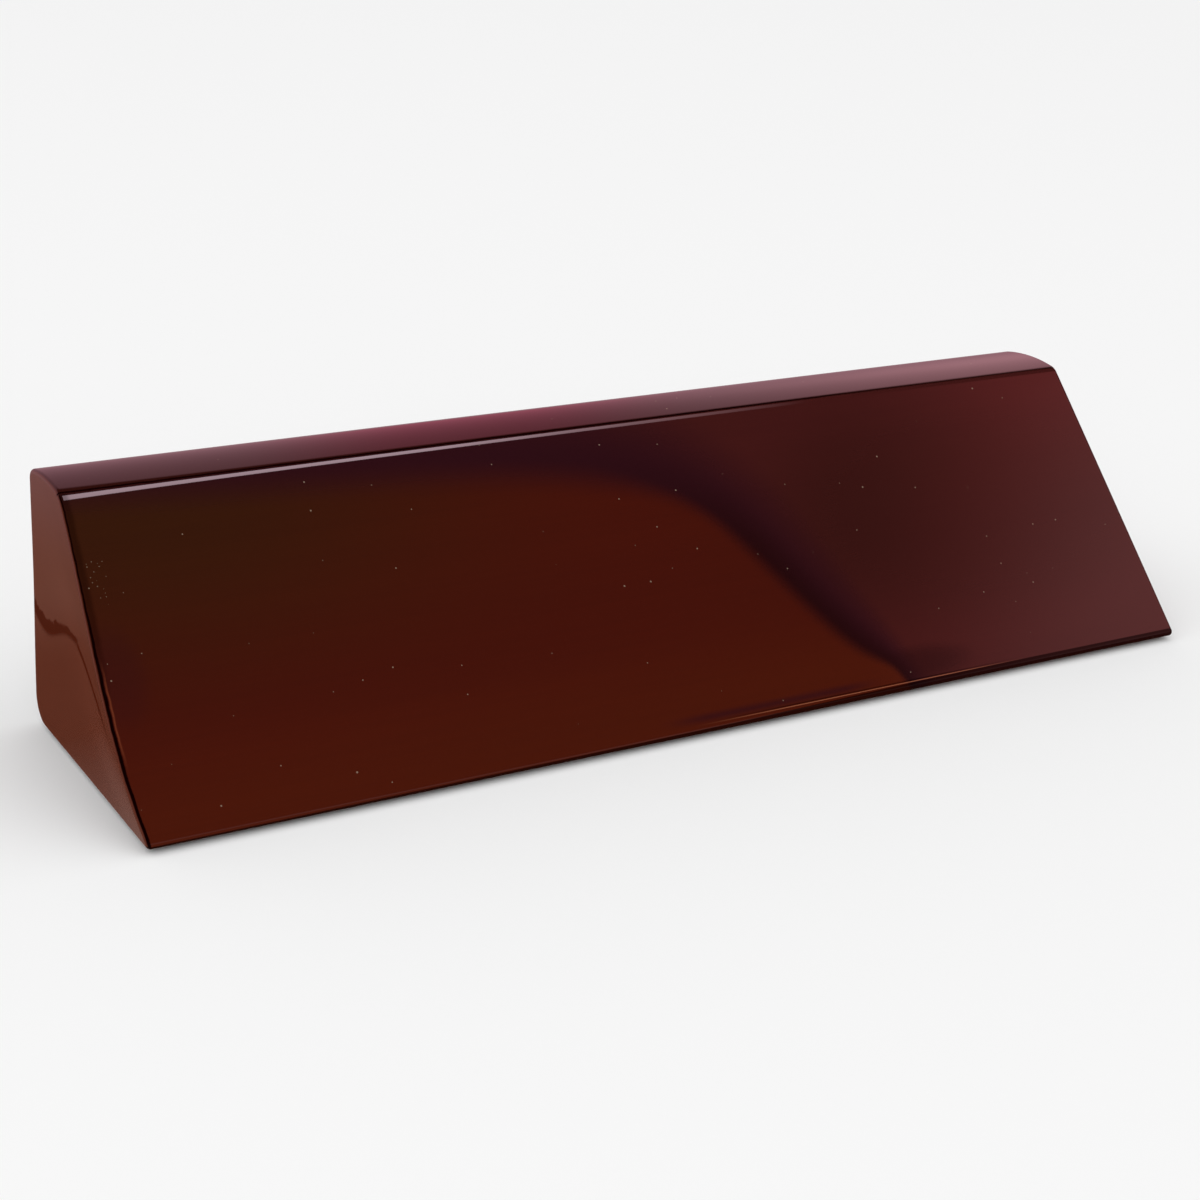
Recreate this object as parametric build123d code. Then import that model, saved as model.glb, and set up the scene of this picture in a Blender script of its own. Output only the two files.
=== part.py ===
from build123d import *
import math
import os

# Free-standing desk wedge: a laminated block faced with rosewood veneer under a thick gloss
# coat. Its sloping front is the show face, which takes a name or award plate.
# Axes: X runs along the length, -Y is the front, +Z is up. Units are millimetres.
# The origin is on the table, under the middle of the block's outer box.

# Driving dimensions
LENGTH = 216.0                  # overall, coat to coat (8 1/2 in)
BASE_DEPTH = 59.8               # back face to the sharp corner that the front edge is rounded from
BACK_HEIGHT = 46.0              # bottom edge to the back end of the domed top
SLOPE_ANGLE = 46.9              # front face above horizontal, degrees
SLOPE_TOP_HEIGHT = 46.3         # height of the corner between the slope and the top
DOME_RISE = 0.9                 # crown of the top above its chord

COAT = 0.5                      # gloss coat
VENEER = 0.5                    # face, back, end and balancing veneers
BOARD_COUNT = 3                 # core boards, face to face through the depth

FELT_THICKNESS = 1.2
FELT_MARGIN = 5.0               # felt edge to the outside of the base
FELT_CORNER_RADIUS = 3.0
FELT_STANDS_PROUD = 0.7         # felt below the coat's lowest face
WINDOW_CLEARANCE = 0.5          # bare strip between the felt and the coat's rim

FRONT_BOTTOM_RADIUS = 0.9
FRONT_TOP_RADIUS = 2.5
BACK_TOP_RADIUS = 2.0
BACK_BOTTOM_RADIUS = 5.0
END_EDGE_RADIUS = 0.7

# Worked out from the driving dimensions
BOTTOM_Z = FELT_STANDS_PROUD
EDGE_LOSS = FRONT_BOTTOM_RADIUS / math.tan(math.radians(SLOPE_ANGLE / 2)) - FRONT_BOTTOM_RADIUS
BACK_Y = (BASE_DEPTH - EDGE_LOSS) / 2
FRONT_Y = BACK_Y - BASE_DEPTH
SLOPE_TOP_Y = FRONT_Y + SLOPE_TOP_HEIGHT / math.tan(math.radians(SLOPE_ANGLE))
SUBSTRATE_LENGTH = LENGTH - 2 * COAT
CORE_LENGTH = SUBSTRATE_LENGTH - 2 * VENEER
CORE_DEPTH = BASE_DEPTH - 2 * (COAT + VENEER)
BOARD_THICKNESS = CORE_DEPTH / BOARD_COUNT
SUBSTRATE_BASE_Z = BOTTOM_Z + COAT
REACH = 3 * BASE_DEPTH          # larger than the section, for cutting tools
MITRE_CENTRE_DEPTH = 0.15       # where the mitre rays start, as shares of the section's size
MITRE_CENTRE_HEIGHT = 0.45


def outer_section():
    """Closed outline of the coated block in the YZ plane: flat base, slope, domed top, back."""
    front_bottom = (FRONT_Y, BOTTOM_Z)
    front_top = (SLOPE_TOP_Y, BOTTOM_Z + SLOPE_TOP_HEIGHT)
    back_top = (BACK_Y, BOTTOM_Z + BACK_HEIGHT)
    back_bottom = (BACK_Y, BOTTOM_Z)
    chord_middle_y = (front_top[0] + back_top[0]) / 2
    chord_middle_z = (front_top[1] + back_top[1]) / 2
    crown = (chord_middle_y, chord_middle_z + DOME_RISE)
    slope = Line(front_bottom, front_top)
    dome = ThreePointArc(front_top, crown, back_top)
    back = Line(back_top, back_bottom)
    base = Line(back_bottom, front_bottom)
    section = make_face(Curve() + [slope, dome, back, base])
    radii = {
        front_bottom: FRONT_BOTTOM_RADIUS,
        front_top: FRONT_TOP_RADIUS,
        back_top: BACK_TOP_RADIUS,
        back_bottom: BACK_BOTTOM_RADIUS,
    }
    for corner, radius in radii.items():
        nearest = min(section.vertices(), key=lambda v: (v.center() - Vector(*corner)).length)
        section = fillet(nearest, radius)
    return section


def inset_section(distance):
    """The outer section moved in by a distance all round, as under a coat or a veneer."""
    return offset(outer_section(), amount=-distance, kind=Kind.INTERSECTION)


def along_length(section, length):
    """Extrude a YZ section along X, centred on the origin."""
    upright = Plane.YZ * section
    return extrude(upright, amount=length / 2, both=True)


def substrate():
    """Core and veneers together, as they are before the coat is sprayed."""
    return along_length(inset_section(COAT), SUBSTRATE_LENGTH)


def core_block():
    """The whole laminated core, before it is split into boards."""
    return along_length(inset_section(COAT + VENEER), CORE_LENGTH)


def core_board(core, index):
    """One board of the core, standing on edge; index 0 is at the front."""
    middle_y = BACK_Y - COAT - VENEER - (BOARD_COUNT - index - 0.5) * BOARD_THICKNESS
    slab = Pos(0, middle_y, 0) * Box(LENGTH, BOARD_THICKNESS, REACH)
    return core & slab


def side_veneer(core, first_corner, second_corner):
    """Long veneer on one side of the core, mitred along rays from the section's middle."""
    wrap = along_length(inset_section(COAT), CORE_LENGTH) - core
    middle = Vector(BASE_DEPTH * MITRE_CENTRE_DEPTH, BOTTOM_Z + BACK_HEIGHT * MITRE_CENTRE_HEIGHT)
    first = middle + (Vector(*first_corner) - middle).normalized() * REACH
    second = middle + (Vector(*second_corner) - middle).normalized() * REACH
    sector = make_face(Polyline(middle, first, second, close=True))
    return wrap & along_length(sector, LENGTH)


def end_veneer(side):
    """Veneer over one end of the wrapped core; side is -1 for left, +1 for right."""
    sheet = along_length(inset_section(COAT), VENEER)
    middle_x = side * (SUBSTRATE_LENGTH - VENEER) / 2
    return Pos(middle_x, 0, 0) * sheet


def felt_outline(margin):
    """Rounded rectangle on the base, this far inside the base's outer edges."""
    radius = FELT_CORNER_RADIUS + FELT_MARGIN - margin
    flat_depth = BASE_DEPTH - BACK_BOTTOM_RADIUS / 2
    middle_y = FRONT_Y + flat_depth / 2
    outline = RectangleRounded(LENGTH - 2 * margin, flat_depth - 2 * margin, radius)
    return Pos(0, middle_y, 0) * outline


def felt_pad():
    """Felt sheet under the base; the block stands on it."""
    return extrude(felt_outline(FELT_MARGIN), amount=FELT_THICKNESS)


def gloss_coat():
    """Clear coat over every face, carried under the base as a rim round the felt."""
    solid = along_length(outer_section(), LENGTH)
    end_edges = solid.edges().filter_by(Plane.YZ)
    shell = fillet(end_edges, END_EDGE_RADIUS) - substrate()
    window = extrude(felt_outline(FELT_MARGIN - WINDOW_CLEARANCE), amount=SUBSTRATE_BASE_Z)
    return shell - window


FRONT_BOTTOM_CORNER = (FRONT_Y, BOTTOM_Z)
FRONT_TOP_CORNER = (SLOPE_TOP_Y, BOTTOM_Z + SLOPE_TOP_HEIGHT)
BACK_TOP_CORNER = (BACK_Y, BOTTOM_Z + BACK_HEIGHT)
BACK_BOTTOM_CORNER = (BACK_Y, BOTTOM_Z)

core = core_block()

parts = {
    "core_board_front": core_board(core, 0),
    "core_board_middle": core_board(core, 1),
    "core_board_back": core_board(core, 2),
    "front_veneer": side_veneer(core, FRONT_BOTTOM_CORNER, FRONT_TOP_CORNER),
    "top_veneer": side_veneer(core, FRONT_TOP_CORNER, BACK_TOP_CORNER),
    "back_veneer": side_veneer(core, BACK_TOP_CORNER, BACK_BOTTOM_CORNER),
    "base_veneer": side_veneer(core, BACK_BOTTOM_CORNER, FRONT_BOTTOM_CORNER),
    "left_end_veneer": end_veneer(-1),
    "right_end_veneer": end_veneer(+1),
    "gloss_coat": gloss_coat(),
    "felt_pad": felt_pad(),
}

os.makedirs("parts", exist_ok=True)
for name, shape in parts.items():
    export_step(shape, f"parts/{name}.step")
    print(f"{name}: {shape.volume:.1f} mm3")
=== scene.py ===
# %% [markdown]
# # A desk name plate wedge in polished rosewood
# The real object is a block of fibreboard, faced with rosewood veneer and sprayed with so much
# clear polyester that it could be sanded flat and buffed to a mirror. The solid model already
# holds its boards, veneers, coat and felt at their real sizes. This script builds the two things
# the eye meets, the buffed outside and the felt underneath, and gives every piece its finish.

# %% Load the solid model
import math

import bmesh
import bpy
import mathutils
import numpy as np
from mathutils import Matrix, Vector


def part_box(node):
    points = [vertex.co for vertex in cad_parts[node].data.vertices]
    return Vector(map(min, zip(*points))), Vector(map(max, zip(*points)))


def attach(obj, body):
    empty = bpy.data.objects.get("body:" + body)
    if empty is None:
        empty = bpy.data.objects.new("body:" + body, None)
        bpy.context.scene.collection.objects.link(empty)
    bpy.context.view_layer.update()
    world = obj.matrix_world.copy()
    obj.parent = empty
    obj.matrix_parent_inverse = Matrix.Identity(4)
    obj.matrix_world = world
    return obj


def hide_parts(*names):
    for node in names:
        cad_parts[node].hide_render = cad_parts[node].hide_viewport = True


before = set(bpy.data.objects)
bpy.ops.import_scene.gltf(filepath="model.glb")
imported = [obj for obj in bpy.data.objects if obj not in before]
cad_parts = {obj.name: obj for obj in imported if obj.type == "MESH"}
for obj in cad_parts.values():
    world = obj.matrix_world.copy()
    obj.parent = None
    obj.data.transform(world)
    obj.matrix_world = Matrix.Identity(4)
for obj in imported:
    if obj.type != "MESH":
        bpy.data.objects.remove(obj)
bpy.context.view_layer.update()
MM = 0.001

# %% [markdown]
# ## The section of the block
# On the real piece the section is cut on a spindle moulder: a flat base, a slope at about 47
# degrees, a top with a slight crown, and a plumb back. It could be a Bezier outline with a bevel,
# but a polished surface shows every facet and every bad normal. So the outline is worked out as
# straight lines and true arcs, and each point is found with its own outward direction.

# %% Driving sizes, taken from the model's own boxes
coat_low, coat_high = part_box("gloss_coat")
felt_low, felt_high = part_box("felt_pad")
HALF_LENGTH = coat_high[0]
BACK_Y = coat_high[1]
BASE_Z = coat_low[2]
NOSE_Y = coat_low[1]                    # foremost point of the rounded front edge
SLOPE = math.radians(46.9)
SLOPE_TOP_Z = BASE_Z + 46.3 * MM
BACK_TOP_Z = BASE_Z + 46.0 * MM
DOME_RISE = 0.9 * MM
R_FRONT_BOTTOM = 0.9 * MM
R_FRONT_TOP = 2.5 * MM
R_BACK_TOP = 2.0 * MM
R_BACK_BOTTOM = 5.0 * MM
R_END = 0.7 * MM
EDGE_LOSS = R_FRONT_BOTTOM / math.tan(SLOPE / 2) - R_FRONT_BOTTOM
FRONT_Y = NOSE_Y - EDGE_LOSS            # the sharp corner that the front edge is rounded from
SLOPE_TOP_Y = FRONT_Y + (SLOPE_TOP_Z - BASE_Z) / math.tan(SLOPE)
SLOPE_UP = np.array([math.cos(SLOPE), math.sin(SLOPE)])
SLOPE_OUT = np.array([-math.sin(SLOPE), math.cos(SLOPE)])
print("sharp corner at the top of the slope, mm:", SLOPE_TOP_Y / MM, SLOPE_TOP_Z / MM)


# %% Lines and arcs of the outline
def spread(count):
    """Values from 0 to 1 that crowd towards both ends: half a turn of a cosine."""
    return (1 - np.cos(np.linspace(0, math.pi, count))) / 2


def line_points(start, end, outward, count):
    """Points from start to end, crowded towards both, all facing the same way."""
    t = spread(count)[:, None]
    points = start + (end - start) * t
    return points, np.broadcast_to(outward, points.shape)


def arc_points(centre, radius, first, last, count):
    """Points on a circle from one angle to another; each faces straight away from the centre."""
    angle = np.linspace(first, last, count)
    facing = np.stack([np.cos(angle), np.sin(angle)], axis=1)
    return centre + radius * facing, facing


# %% [markdown]
# Buffing wheels eat an edge unevenly, so the long edge between the slope and the top is softer at
# the left end and crisper at the right. The outline is therefore a function of that edge's radius.

# %% How many points each run of the outline gets, in the order in which they are joined
BASE_COUNT, NOSE_COUNT, SLOPE_COUNT, EDGE_COUNT = 40, 16, 56, 18
DOME_COUNT, BACK_TOP_COUNT, BACK_COUNT, HEEL_COUNT = 24, 14, 36, 20
NOSE_FIRST = BASE_COUNT - 1             # outline index where the nose starts
SLOPE_FIRST = NOSE_FIRST + NOSE_COUNT - 1
SLOPE_LAST = SLOPE_FIRST + SLOPE_COUNT - 1
DOME_FIRST = SLOPE_LAST + EDGE_COUNT - 1


# %% The outline for one radius of the upper front edge
def outline(front_top_radius):
    """Closed outline in (y, z), from the back's foot, forwards, up the slope and over the top.

    Each corner is a circle that touches its two neighbours: its centre is one radius inside both.
    """
    chord_start = np.array([SLOPE_TOP_Y, SLOPE_TOP_Z])
    chord_end = np.array([BACK_Y, BACK_TOP_Z])
    chord = chord_end - chord_start
    width = np.linalg.norm(chord)
    dome_radius = width ** 2 / (8 * DOME_RISE) + DOME_RISE / 2
    across = np.array([chord[1], -chord[0]]) / width
    dome = (chord_start + chord_end) / 2 + across * (dome_radius - DOME_RISE)

    front_bottom = np.array([FRONT_Y + R_FRONT_BOTTOM / math.tan(SLOPE / 2),
                             BASE_Z + R_FRONT_BOTTOM])
    back_bottom = np.array([BACK_Y - R_BACK_BOTTOM, BASE_Z + R_BACK_BOTTOM])

    inside = np.array([FRONT_Y, BASE_Z]) - SLOPE_OUT * front_top_radius - dome
    reach = inside @ SLOPE_UP
    gap = inside @ inside - (dome_radius - front_top_radius) ** 2
    front_top = dome + inside + SLOPE_UP * (-reach + math.sqrt(reach ** 2 - gap))

    across_back = BACK_Y - R_BACK_TOP - dome[0]
    up_back = math.sqrt((dome_radius - R_BACK_TOP) ** 2 - across_back ** 2)
    back_top = dome + np.array([across_back, up_back])

    dome_start = math.atan2(*(front_top - dome)[::-1])
    dome_end = math.atan2(*(back_top - dome)[::-1])
    slope_angle = math.pi / 2 + SLOPE
    down, back = np.array([0.0, -1.0]), np.array([1.0, 0.0])
    runs = [
        line_points(back_bottom + down * R_BACK_BOTTOM, front_bottom + down * R_FRONT_BOTTOM,
                    down, BASE_COUNT),
        arc_points(front_bottom, R_FRONT_BOTTOM, 1.5 * math.pi, slope_angle, NOSE_COUNT),
        line_points(front_bottom + SLOPE_OUT * R_FRONT_BOTTOM,
                    front_top + SLOPE_OUT * front_top_radius, SLOPE_OUT, SLOPE_COUNT),
        arc_points(front_top, front_top_radius, slope_angle, dome_start, EDGE_COUNT),
        arc_points(dome, dome_radius, dome_start, dome_end, DOME_COUNT),
        arc_points(back_top, R_BACK_TOP, dome_end, 0.0, BACK_TOP_COUNT),
        line_points(back_top + back * R_BACK_TOP, back_bottom + back * R_BACK_BOTTOM,
                    back, BACK_COUNT),
        arc_points(back_bottom, R_BACK_BOTTOM, 0.0, -math.pi / 2, HEEL_COUNT),
    ]
    points = np.concatenate([p[:-1] for p, _ in runs])
    facing = np.concatenate([n[:-1] for _, n in runs])
    return points, facing


sample, _ = outline(R_FRONT_TOP)
print("outline points:", len(sample), "height, mm:", round((sample[:, 1].max() - BASE_Z) / MM, 2))

# %% [markdown]
# ## The buffed outside as one grid
# The coat is a single skin: there is no joint in it anywhere, so it is one mesh. Boolean blocks
# with a bevel would give the same box, but not the slow changes that hand buffing leaves. A grid
# gives them: one direction runs round the outline, the other runs along the block, turns over the
# rounded end and closes on the middle of each end face.

# %% Stations along the block
RING_COUNT = 150                        # outlines between the two rounded ends
END_ARC_COUNT = 9                       # outlines over each rounded end edge
CAP_COUNT = 26                          # shrinking rings on each end face
CAP_CROWD = 1.5                         # above 1, those rings crowd towards the end's edge


def half_stations():
    """Stations of the right half, from the middle outwards: x, inset, scale and end distance.

    The inset follows a quarter circle over the end edge. On the end face the ring shrinks
    towards its middle. The end distance is measured on the surface from the edge's crest,
    positive along the block and negative on the end face.
    """
    straight = HALF_LENGTH - R_END
    crest = R_END * math.pi / 4
    flat_x = straight * np.sin(np.linspace(0, math.pi / 2, RING_COUNT // 2 + 1))
    turn = np.linspace(0, math.pi / 2, END_ARC_COUNT)[1:]
    shrink = 1 - np.linspace(0, 1, CAP_COUNT + 1)[1:] ** CAP_CROWD
    on_cap = np.ones(CAP_COUNT)
    x = [flat_x, straight + R_END * np.sin(turn), HALF_LENGTH * on_cap]
    inset = [np.zeros(len(flat_x)), R_END * (1 - np.cos(turn)), R_END * on_cap]
    scale = [np.ones(len(flat_x) + len(turn)), shrink]
    gap = [straight - flat_x + crest, crest - R_END * turn, -crest * on_cap]
    return [np.concatenate(values) for values in (x, inset, scale, gap)]


def mirrored(values, sign=1):
    """A value of every station: the right half's, with its mirror image in front."""
    return np.concatenate([sign * values[:0:-1], values])


half_x, *half_values = half_stations()
station_x = mirrored(half_x, -1)
station_inset, station_scale, station_gap = (mirrored(values) for values in half_values)
print("stations:", len(station_x))


# %% Blend of the soft left edge and the crisp right edge
def from_left(reach):
    """For each station: 1 at the left end, fading exponentially along the block."""
    return np.exp(-(station_x + HALF_LENGTH) / reach)


R_SOFT, R_CRISP = 5.2 * MM, 3.0 * MM
SOFT_LONG = 28 * MM                     # how far the soft edge reaches along the block
soft_points, soft_facing = outline(R_SOFT)
crisp_points, crisp_facing = outline(R_CRISP)
share = 1 - from_left(SOFT_LONG)[:, None, None]
ring_points = soft_points * (1 - share) + crisp_points * share
ring_facing = soft_facing * (1 - share) + crisp_facing * share
ring_facing /= np.linalg.norm(ring_facing, axis=2, keepdims=True)


# %% Distances on the surface, from which the finish later finds its edges
steps = np.linalg.norm(np.diff(ring_points, axis=1, append=ring_points[:, :1]), axis=2)
travel = np.cumsum(steps, axis=1) - steps
bottom_crest = (travel[:, NOSE_FIRST] + travel[:, SLOPE_FIRST]) / 2
top_crest = (travel[:, SLOPE_LAST] + travel[:, DOME_FIRST]) / 2
gap_bottom = travel - bottom_crest[:, None]
gap_top = top_crest[:, None] - travel
print("slope from crest to crest, mm:", round(float((top_crest - bottom_crest).mean() / MM), 2))

# %% [markdown]
# ## What the saw and the buffing wheel do
# Near a long edge a felt wheel tips over and takes a little more, so the flat face falls away by
# a few hundredths of a millimetre. At the lower left the wheel left the end a little full, and the
# left end itself was cut a degree or so out of square. These moves are too small to see as shape,
# but a mirror finish shows them in how its reflections bend.

# %% Fall-off, fullness, lean and slow ripple, as moves of the grid
FALL_DEPTH, FALL_REACH = 0.04 * MM, 3.0 * MM
FULL_DEPTH, FULL_DEEP, FULL_LONG = 1.35 * MM, 11 * MM, 14 * MM
FULL_POWER = 1.8                        # puts the fullest place about a third of the way up
FULL_PEAK = (1 / (1 + FULL_POWER)) * (FULL_POWER / (1 + FULL_POWER)) ** FULL_POWER
LEAN_RATE = 0.7 / 28                    # how far the left end leans in for each step upwards
LEAN_MOST = 0.34 * MM                   # less than the coat's thickness
LEAN_LEVEL, LEAN_LONG = 18 * MM, 30 * MM
RIPPLE_DEPTH = 0.012 * MM
RIPPLE_FIRST = (17 * MM, 13 * MM)       # its two waves' lengths along and up, for a radian
RIPPLE_SECOND = (29 * MM, -9 * MM)


def fall_off():
    """Depth taken off near the slope's two long edges: it fades exponentially from each edge."""
    near_top = np.exp(-np.abs(gap_top) / FALL_REACH)
    near_bottom = np.exp(-np.abs(gap_bottom) / FALL_REACH)
    return FALL_DEPTH * (near_top + near_bottom)


def fullness(points):
    """How far the left end stands out: a skewed hump up the slope, gone a centimetre inside it."""
    up = np.clip((points[..., 1] - BASE_Z) / (SLOPE_TOP_Z - BASE_Z), 0, 1)
    hump = up * (1 - up) ** FULL_POWER / FULL_PEAK
    deep = (np.array([FRONT_Y, BASE_Z]) - points) @ SLOPE_OUT
    return FULL_DEPTH * hump * np.exp(-(deep / FULL_DEEP) ** 2) * from_left(FULL_LONG)[:, None]


def lean(points):
    """How far the left end leans in: a hyperbolic tangent of height, fading along the block.

    The tangent levels off before the surface would reach the veneer.
    """
    inwards = LEAN_MOST * np.tanh(LEAN_RATE * (points[..., 1] - LEAN_LEVEL) / LEAN_MOST)
    return inwards * from_left(LEAN_LONG)[:, None]


def ripple(points):
    """Slow waves left by block sanding: two crossing sines, within 0.02 mm of the flat."""
    along, height = station_x[:, None], points[..., 1]
    first = np.sin(along / RIPPLE_FIRST[0] + height / RIPPLE_FIRST[1])
    second = np.sin(along / RIPPLE_SECOND[0] + height / RIPPLE_SECOND[1] + 1.3)
    return RIPPLE_DEPTH * (first + 0.6 * second)


CAP_MIDDLE = np.array([0.4 * BACK_Y, BASE_Z + 19 * MM])     # where the rings of an end close
points = ring_points - ring_facing * station_inset[:, None, None]
points = points - ring_facing * fall_off()[..., None]
points = points + ring_facing * ripple(points)[..., None]
points = CAP_MIDDLE + (points - CAP_MIDDLE) * station_scale[:, None, None]
grid_x = station_x[:, None] - fullness(points) + lean(points)
positions = np.concatenate([grid_x[..., None], points], axis=2)
stands_out = -HALF_LENGTH - positions[..., 0].min()
print("fullest place stands out, mm:", round(float(stands_out / MM), 2))


# %% From grid to mesh
WELD = 0.002 * MM                       # points closer than this become one


def grid_object(name, grid):
    """Mesh from a grid of closed rings: quads join neighbours in a ring and in the next ring."""
    rings, around = grid.shape[:2]
    index = np.arange(rings * around).reshape(rings, around)
    nxt = np.roll(index, -1, axis=1)
    quads = np.stack([index[:-1], nxt[:-1], nxt[1:], index[1:]], axis=-1).reshape(-1, 4)
    mesh = bpy.data.meshes.new(name)
    mesh.from_pydata(grid.reshape(-1, 3).tolist(), [], quads.tolist())
    obj = bpy.data.objects.new(name, mesh)
    bpy.context.scene.collection.objects.link(obj)
    return obj


def point_value(obj, name, values):
    """One number per vertex, kept on the mesh for the shader to read."""
    layer = obj.data.attributes.new(name, "FLOAT", "POINT")
    layer.data.foreach_set("value", np.ascontiguousarray(values, dtype=np.float32).ravel())


def close_and_smooth(obj):
    """Weld the poles, turn every face outwards and shade smooth."""
    work = bmesh.new()
    work.from_mesh(obj.data)
    bmesh.ops.remove_doubles(work, verts=work.verts, dist=WELD)
    bmesh.ops.recalc_face_normals(work, faces=work.faces)
    work.to_mesh(obj.data)
    work.free()
    obj.data.polygons.foreach_set("use_smooth", [True] * len(obj.data.polygons))


skin = grid_object("buffed_rosewood_body", positions)
point_value(skin, "gap_end", np.broadcast_to(station_gap[:, None] / MM, gap_top.shape))
point_value(skin, "gap_top", gap_top / MM)
point_value(skin, "gap_bottom", gap_bottom / MM)
close_and_smooth(skin)
print("body faces:", len(skin.data.polygons))

# %% [markdown]
# ## The felt under the base
# The real pad is a thin sheet of pressed wool, cut with a knife and glued into the bare window of
# the base. A cloth simulation has nothing to do here, because glue holds it flat. What shows on a
# close look is the rounded, slightly lumpy edge and the mat surface, so the pad is a grid too: a
# rounded rectangle swept over a small quarter circle, with its lower face dimpled a little.

# %% The pad's rings, from the glued face round the edge to the middle of the lower face
FELT_RADIUS = 3.0 * MM
FELT_EDGE = 0.5 * MM                    # radius of the rounded lower edge
FELT_AROUND = 320                       # points in a ring
FELT_TURN, FELT_SHRINK = 5, 29          # rings over the rounded edge and on the lower face
DIMPLE_DEPTH, DIMPLE_X, DIMPLE_Y = 0.02 * MM, 3.1 * MM, 2.7 * MM


def rounded_rectangle(half_x, half_y, radius, count):
    """Closed outline of a rounded rectangle, evenly spaced along its length, about its middle."""
    angle = np.linspace(0, math.tau, count * 8, endpoint=False)
    facing = np.stack([np.cos(angle), np.sin(angle)], axis=1)
    corner = np.sign(facing) * (np.array([half_x, half_y]) - radius)
    dense = corner + facing * radius
    step = np.linalg.norm(np.diff(dense, axis=0, append=dense[:1]), axis=1)
    length = np.concatenate([[0.0], np.cumsum(step)])
    wanted = np.linspace(0, length[-1], count, endpoint=False)
    around = np.vstack([dense, dense[:1]])
    return np.stack([np.interp(wanted, length, around[:, k]) for k in (0, 1)], axis=1)


def felt_grid():
    """Rings of the pad: flat top, short wall, rounded lower edge, then shrinking to the middle.

    The rounded edge is a quarter circle. The dimples are a sine along times a sine across.
    """
    half = np.array((felt_high - felt_low)[:2]) / 2
    middle = np.array((felt_high + felt_low)[:2]) / 2
    low, high = felt_low[2], felt_high[2]
    rim = rounded_rectangle(half[0], half[1], FELT_RADIUS, FELT_AROUND)
    turn = np.linspace(0, math.pi / 2, FELT_TURN + 1)
    below = np.ones(FELT_SHRINK)
    top_scale = np.array([0.0, 0.5, 1.0])
    scale = np.concatenate([top_scale, np.ones(len(turn)), np.linspace(1, 0, FELT_SHRINK + 1)[1:]])
    inset = np.concatenate([0 * top_scale, FELT_EDGE * (1 - np.cos(turn)), FELT_EDGE * below])
    level = np.concatenate([high + 0 * top_scale, low + FELT_EDGE * (1 - np.sin(turn)),
                            low * below])
    flat = middle + rim * (1 - inset[:, None, None] / half) * scale[:, None, None]
    dimple = np.sin(flat[..., 0] / DIMPLE_X) * np.sin(flat[..., 1] / DIMPLE_Y + 0.7)
    lower = (level < high - FELT_EDGE)[:, None]
    z = level[:, None] + lower * DIMPLE_DEPTH * (1 + dimple)
    return np.concatenate([flat, z[..., None]], axis=2)


felt = grid_object("pressed_felt_pad", felt_grid())
close_and_smooth(felt)
print("felt faces:", len(felt.data.polygons))

# %% [markdown]
# ## Shader helpers
# The finishes are built from small sums on coordinates, so a few short helpers keep each of them
# readable: they add a node, plug in numbers or sockets, and hand back the result's socket.

# %% Node helpers
def plug(tree, socket, value):
    """A socket is linked; a number or a colour is set."""
    if isinstance(value, bpy.types.NodeSocket):
        tree.links.new(value, socket)
    else:
        socket.default_value = value


def sums(tree, operation, *values):
    """One Math node."""
    node = tree.nodes.new("ShaderNodeMath")
    node.operation = operation
    for socket, value in zip(node.inputs, values):
        plug(tree, socket, value)
    return node.outputs[0]


def times(tree, *values):
    """The product of several values, from the left."""
    product = values[0]
    for value in values[1:]:
        product = sums(tree, "MULTIPLY", product, value)
    return product


def ramp(tree, value, low, high, smooth=True):
    """0 below low, 1 above high, and a soft step between; low above high turns it over."""
    node = tree.nodes.new("ShaderNodeMapRange")
    node.interpolation_type = "SMOOTHSTEP" if smooth else "LINEAR"
    plug(tree, node.inputs["Value"], value)
    node.inputs["From Min"].default_value = min(low, high)
    node.inputs["From Max"].default_value = max(low, high)
    node.inputs["To Min"].default_value = float(low > high)
    node.inputs["To Max"].default_value = float(low <= high)
    return node.outputs["Result"]


def between(tree, value, low, high, soft):
    """1 between low and high, with a soft step at both."""
    return times(tree, ramp(tree, value, low - soft, low + soft),
                 ramp(tree, value, high + soft, high - soft))


def blend(tree, factor, first, second, mode="MIX"):
    """One colour Mix node."""
    node = tree.nodes.new("ShaderNodeMix")
    node.data_type = "RGBA"
    node.blend_type = mode
    plug(tree, node.inputs["Factor"], factor)
    plug(tree, node.inputs["A"], first)
    plug(tree, node.inputs["B"], second)
    return node.outputs["Result"]


def noise(tree, vector, scale, detail=2.0, roughness=0.5):
    """A noise texture's value, on coordinates in millimetres."""
    node = tree.nodes.new("ShaderNodeTexNoise")
    plug(tree, node.inputs["Vector"], vector)
    plug(tree, node.inputs["Scale"], scale)
    node.inputs["Detail"].default_value = detail
    node.inputs["Roughness"].default_value = roughness
    return node.outputs["Fac"]


def scaled(tree, vector, factors):
    """Coordinates stretched per axis."""
    node = tree.nodes.new("ShaderNodeVectorMath")
    node.operation = "MULTIPLY"
    plug(tree, node.inputs[0], vector)
    node.inputs[1].default_value = factors
    return node.outputs[0]


def new_group(name, inputs, outputs):
    """A shader node group. Inputs and outputs are (name, kind, default or None)."""
    kinds = {"value": "NodeSocketFloat", "colour": "NodeSocketColor", "vector": "NodeSocketVector"}
    tree = bpy.data.node_groups.new(name, "ShaderNodeTree")
    for label, kind, default in inputs:
        socket = tree.interface.new_socket(name=label, in_out="INPUT", socket_type=kinds[kind])
        if default is not None:
            socket.default_value = default
    for label, kind in outputs:
        tree.interface.new_socket(name=label, in_out="OUTPUT", socket_type=kinds[kind])
    entry = tree.nodes.new("NodeGroupInput")
    leave = tree.nodes.new("NodeGroupOutput")
    return tree, entry.outputs, leave.inputs


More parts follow.
